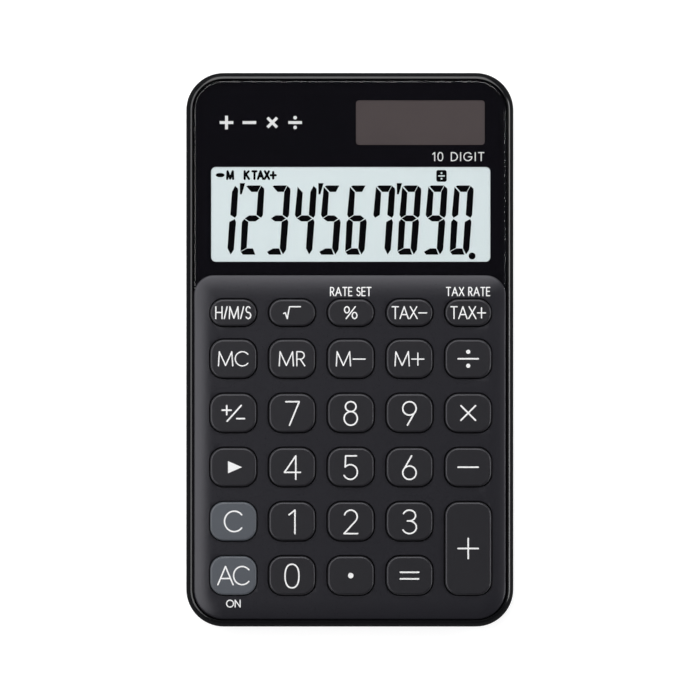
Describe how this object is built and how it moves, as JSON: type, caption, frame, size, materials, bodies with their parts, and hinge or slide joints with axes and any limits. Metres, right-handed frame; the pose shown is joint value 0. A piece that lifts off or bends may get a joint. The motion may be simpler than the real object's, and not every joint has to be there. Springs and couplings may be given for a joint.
{
  "type": "pocket calculator",
  "caption": "Slim pocket calculator with a light cell, a segment display under a glossy black panel, and rounded rubber-dome keys on a matt charcoal plate.",
  "frame": {"origin": "middle of the flat back, on the face that the calculator rests on", "axes": "+X to the right of the keypad, +Y towards the display end, +Z out of the face with the keys"},
  "size_m": [0.07, 0.1186, 0.008],
  "materials": {
    "gloss_black": "polished black moulding",
    "charcoal_plate": "fine satin texture",
    "charcoal_key": "fine satin texture with pale printed legends",
    "clear_key": "fine satin texture with pale printed legends",
    "clear_acrylic": "polished and clear",
    "black_print": "black back print",
    "polariser_film": "neutral film",
    "lcd_glass": "thin clear glass",
    "reflector_film": "pale diffuse reflector",
    "connector_rubber": "pink elastomer strip",
    "white_plastic": "moulded white",
    "board_green": "solder mask over laminate",
    "black_resin": "potting resin",
    "chip_ceramic": "ceramic chips",
    "keypad_rubber": "moulded silicone",
    "solar_glass": "dark light cell under glass",
    "lead_insulation": "insulated wire",
    "cell_steel": "nickel-plated steel",
    "contact_spring": "plated spring strip",
    "screw_steel": "plated steel"
  },
  "bodies": {
    "casing": {"rear_case": "gloss_black", "battery_cover": "gloss_black", "front_case": "charcoal_plate", "display_lens": "clear_acrylic", "lens_mask": "black_print", "lcd_polariser": "polariser_film", "lcd_front_glass": "lcd_glass", "lcd_rear_glass": "lcd_glass", "lcd_reflector": "reflector_film", "lcd_connector": "connector_rubber", "lcd_holder": "white_plastic", "main_board": "board_green", "chip_blob": "black_resin", "board_components": "chip_ceramic", "rubber_mat": "keypad_rubber", "rubber_domes": "keypad_rubber", "solar_cell": "solar_glass", "solar_leads": "lead_insulation", "battery_cell": "cell_steel", "battery_contact_positive": "contact_spring", "battery_contact_negative": "contact_spring", "battery_cover_screw": "screw_steel", "case_screws": "screw_steel", "board_screws": "screw_steel"},
    "key_hours": {"key_hours": "charcoal_key"},
    "key_root": {"key_root": "charcoal_key"},
    "key_percent": {"key_percent": "charcoal_key"},
    "key_tax_minus": {"key_tax_minus": "charcoal_key"},
    "key_tax_plus": {"key_tax_plus": "charcoal_key"},
    "key_memory_clear": {"key_memory_clear": "charcoal_key"},
    "key_memory_recall": {"key_memory_recall": "charcoal_key"},
    "key_memory_minus": {"key_memory_minus": "charcoal_key"},
    "key_memory_plus": {"key_memory_plus": "charcoal_key"},
    "key_divide": {"key_divide": "charcoal_key"},
    "key_sign": {"key_sign": "charcoal_key"},
    "key_7": {"key_7": "charcoal_key"},
    "key_8": {"key_8": "charcoal_key"},
    "key_9": {"key_9": "charcoal_key"},
    "key_multiply": {"key_multiply": "charcoal_key"},
    "key_shift": {"key_shift": "charcoal_key"},
    "key_4": {"key_4": "charcoal_key"},
    "key_5": {"key_5": "charcoal_key"},
    "key_6": {"key_6": "charcoal_key"},
    "key_subtract": {"key_subtract": "charcoal_key"},
    "key_clear": {"key_clear": "clear_key"},
    "key_1": {"key_1": "charcoal_key"},
    "key_2": {"key_2": "charcoal_key"},
    "key_3": {"key_3": "charcoal_key"},
    "key_add": {"key_add": "charcoal_key"},
    "key_all_clear": {"key_all_clear": "clear_key"},
    "key_0": {"key_0": "charcoal_key"},
    "key_point": {"key_point": "charcoal_key"},
    "key_equals": {"key_equals": "charcoal_key"}
  },
  "joints": [
    {"name": "key_hours_press", "type": "slide", "parent": "casing", "child": "key_hours", "axis": [0, 0, -1], "range_m": [0, 0.001], "stiffness_N_per_m": 500, "deforming": ["rubber_domes"]},
    {"name": "key_root_press", "type": "slide", "parent": "casing", "child": "key_root", "axis": [0, 0, -1], "range_m": [0, 0.001], "stiffness_N_per_m": 500, "deforming": ["rubber_domes"]},
    {"name": "key_percent_press", "type": "slide", "parent": "casing", "child": "key_percent", "axis": [0, 0, -1], "range_m": [0, 0.001], "stiffness_N_per_m": 500, "deforming": ["rubber_domes"]},
    {"name": "key_tax_minus_press", "type": "slide", "parent": "casing", "child": "key_tax_minus", "axis": [0, 0, -1], "range_m": [0, 0.001], "stiffness_N_per_m": 500, "deforming": ["rubber_domes"]},
    {"name": "key_tax_plus_press", "type": "slide", "parent": "casing", "child": "key_tax_plus", "axis": [0, 0, -1], "range_m": [0, 0.001], "stiffness_N_per_m": 500, "deforming": ["rubber_domes"]},
    {"name": "key_memory_clear_press", "type": "slide", "parent": "casing", "child": "key_memory_clear", "axis": [0, 0, -1], "range_m": [0, 0.001], "stiffness_N_per_m": 500, "deforming": ["rubber_domes"]},
    {"name": "key_memory_recall_press", "type": "slide", "parent": "casing", "child": "key_memory_recall", "axis": [0, 0, -1], "range_m": [0, 0.001], "stiffness_N_per_m": 500, "deforming": ["rubber_domes"]},
    {"name": "key_memory_minus_press", "type": "slide", "parent": "casing", "child": "key_memory_minus", "axis": [0, 0, -1], "range_m": [0, 0.001], "stiffness_N_per_m": 500, "deforming": ["rubber_domes"]},
    {"name": "key_memory_plus_press", "type": "slide", "parent": "casing", "child": "key_memory_plus", "axis": [0, 0, -1], "range_m": [0, 0.001], "stiffness_N_per_m": 500, "deforming": ["rubber_domes"]},
    {"name": "key_divide_press", "type": "slide", "parent": "casing", "child": "key_divide", "axis": [0, 0, -1], "range_m": [0, 0.001], "stiffness_N_per_m": 500, "deforming": ["rubber_domes"]},
    {"name": "key_sign_press", "type": "slide", "parent": "casing", "child": "key_sign", "axis": [0, 0, -1], "range_m": [0, 0.001], "stiffness_N_per_m": 500, "deforming": ["rubber_domes"]},
    {"name": "key_7_press", "type": "slide", "parent": "casing", "child": "key_7", "axis": [0, 0, -1], "range_m": [0, 0.001], "stiffness_N_per_m": 500, "deforming": ["rubber_domes"]},
    {"name": "key_8_press", "type": "slide", "parent": "casing", "child": "key_8", "axis": [0, 0, -1], "range_m": [0, 0.001], "stiffness_N_per_m": 500, "deforming": ["rubber_domes"]},
    {"name": "key_9_press", "type": "slide", "parent": "casing", "child": "key_9", "axis": [0, 0, -1], "range_m": [0, 0.001], "stiffness_N_per_m": 500, "deforming": ["rubber_domes"]},
    {"name": "key_multiply_press", "type": "slide", "parent": "casing", "child": "key_multiply", "axis": [0, 0, -1], "range_m": [0, 0.001], "stiffness_N_per_m": 500, "deforming": ["rubber_domes"]},
    {"name": "key_shift_press", "type": "slide", "parent": "casing", "child": "key_shift", "axis": [0, 0, -1], "range_m": [0, 0.001], "stiffness_N_per_m": 500, "deforming": ["rubber_domes"]},
    {"name": "key_4_press", "type": "slide", "parent": "casing", "child": "key_4", "axis": [0, 0, -1], "range_m": [0, 0.001], "stiffness_N_per_m": 500, "deforming": ["rubber_domes"]},
    {"name": "key_5_press", "type": "slide", "parent": "casing", "child": "key_5", "axis": [0, 0, -1], "range_m": [0, 0.001], "stiffness_N_per_m": 500, "deforming": ["rubber_domes"]},
    {"name": "key_6_press", "type": "slide", "parent": "casing", "child": "key_6", "axis": [0, 0, -1], "range_m": [0, 0.001], "stiffness_N_per_m": 500, "deforming": ["rubber_domes"]},
    {"name": "key_subtract_press", "type": "slide", "parent": "casing", "child": "key_subtract", "axis": [0, 0, -1], "range_m": [0, 0.001], "stiffness_N_per_m": 500, "deforming": ["rubber_domes"]},
    {"name": "key_clear_press", "type": "slide", "parent": "casing", "child": "key_clear", "axis": [0, 0, -1], "range_m": [0, 0.001], "stiffness_N_per_m": 500, "deforming": ["rubber_domes"]},
    {"name": "key_1_press", "type": "slide", "parent": "casing", "child": "key_1", "axis": [0, 0, -1], "range_m": [0, 0.001], "stiffness_N_per_m": 500, "deforming": ["rubber_domes"]},
    {"name": "key_2_press", "type": "slide", "parent": "casing", "child": "key_2", "axis": [0, 0, -1], "range_m": [0, 0.001], "stiffness_N_per_m": 500, "deforming": ["rubber_domes"]},
    {"name": "key_3_press", "type": "slide", "parent": "casing", "child": "key_3", "axis": [0, 0, -1], "range_m": [0, 0.001], "stiffness_N_per_m": 500, "deforming": ["rubber_domes"]},
    {"name": "key_add_press", "type": "slide", "parent": "casing", "child": "key_add", "axis": [0, 0, -1], "range_m": [0, 0.001], "stiffness_N_per_m": 500, "deforming": ["rubber_domes"]},
    {"name": "key_all_clear_press", "type": "slide", "parent": "casing", "child": "key_all_clear", "axis": [0, 0, -1], "range_m": [0, 0.001], "stiffness_N_per_m": 500, "deforming": ["rubber_domes"]},
    {"name": "key_0_press", "type": "slide", "parent": "casing", "child": "key_0", "axis": [0, 0, -1], "range_m": [0, 0.001], "stiffness_N_per_m": 500, "deforming": ["rubber_domes"]},
    {"name": "key_point_press", "type": "slide", "parent": "casing", "child": "key_point", "axis": [0, 0, -1], "range_m": [0, 0.001], "stiffness_N_per_m": 500, "deforming": ["rubber_domes"]},
    {"name": "key_equals_press", "type": "slide", "parent": "casing", "child": "key_equals", "axis": [0, 0, -1], "range_m": [0, 0.001], "stiffness_N_per_m": 500, "deforming": ["rubber_domes"]}
  ]
}
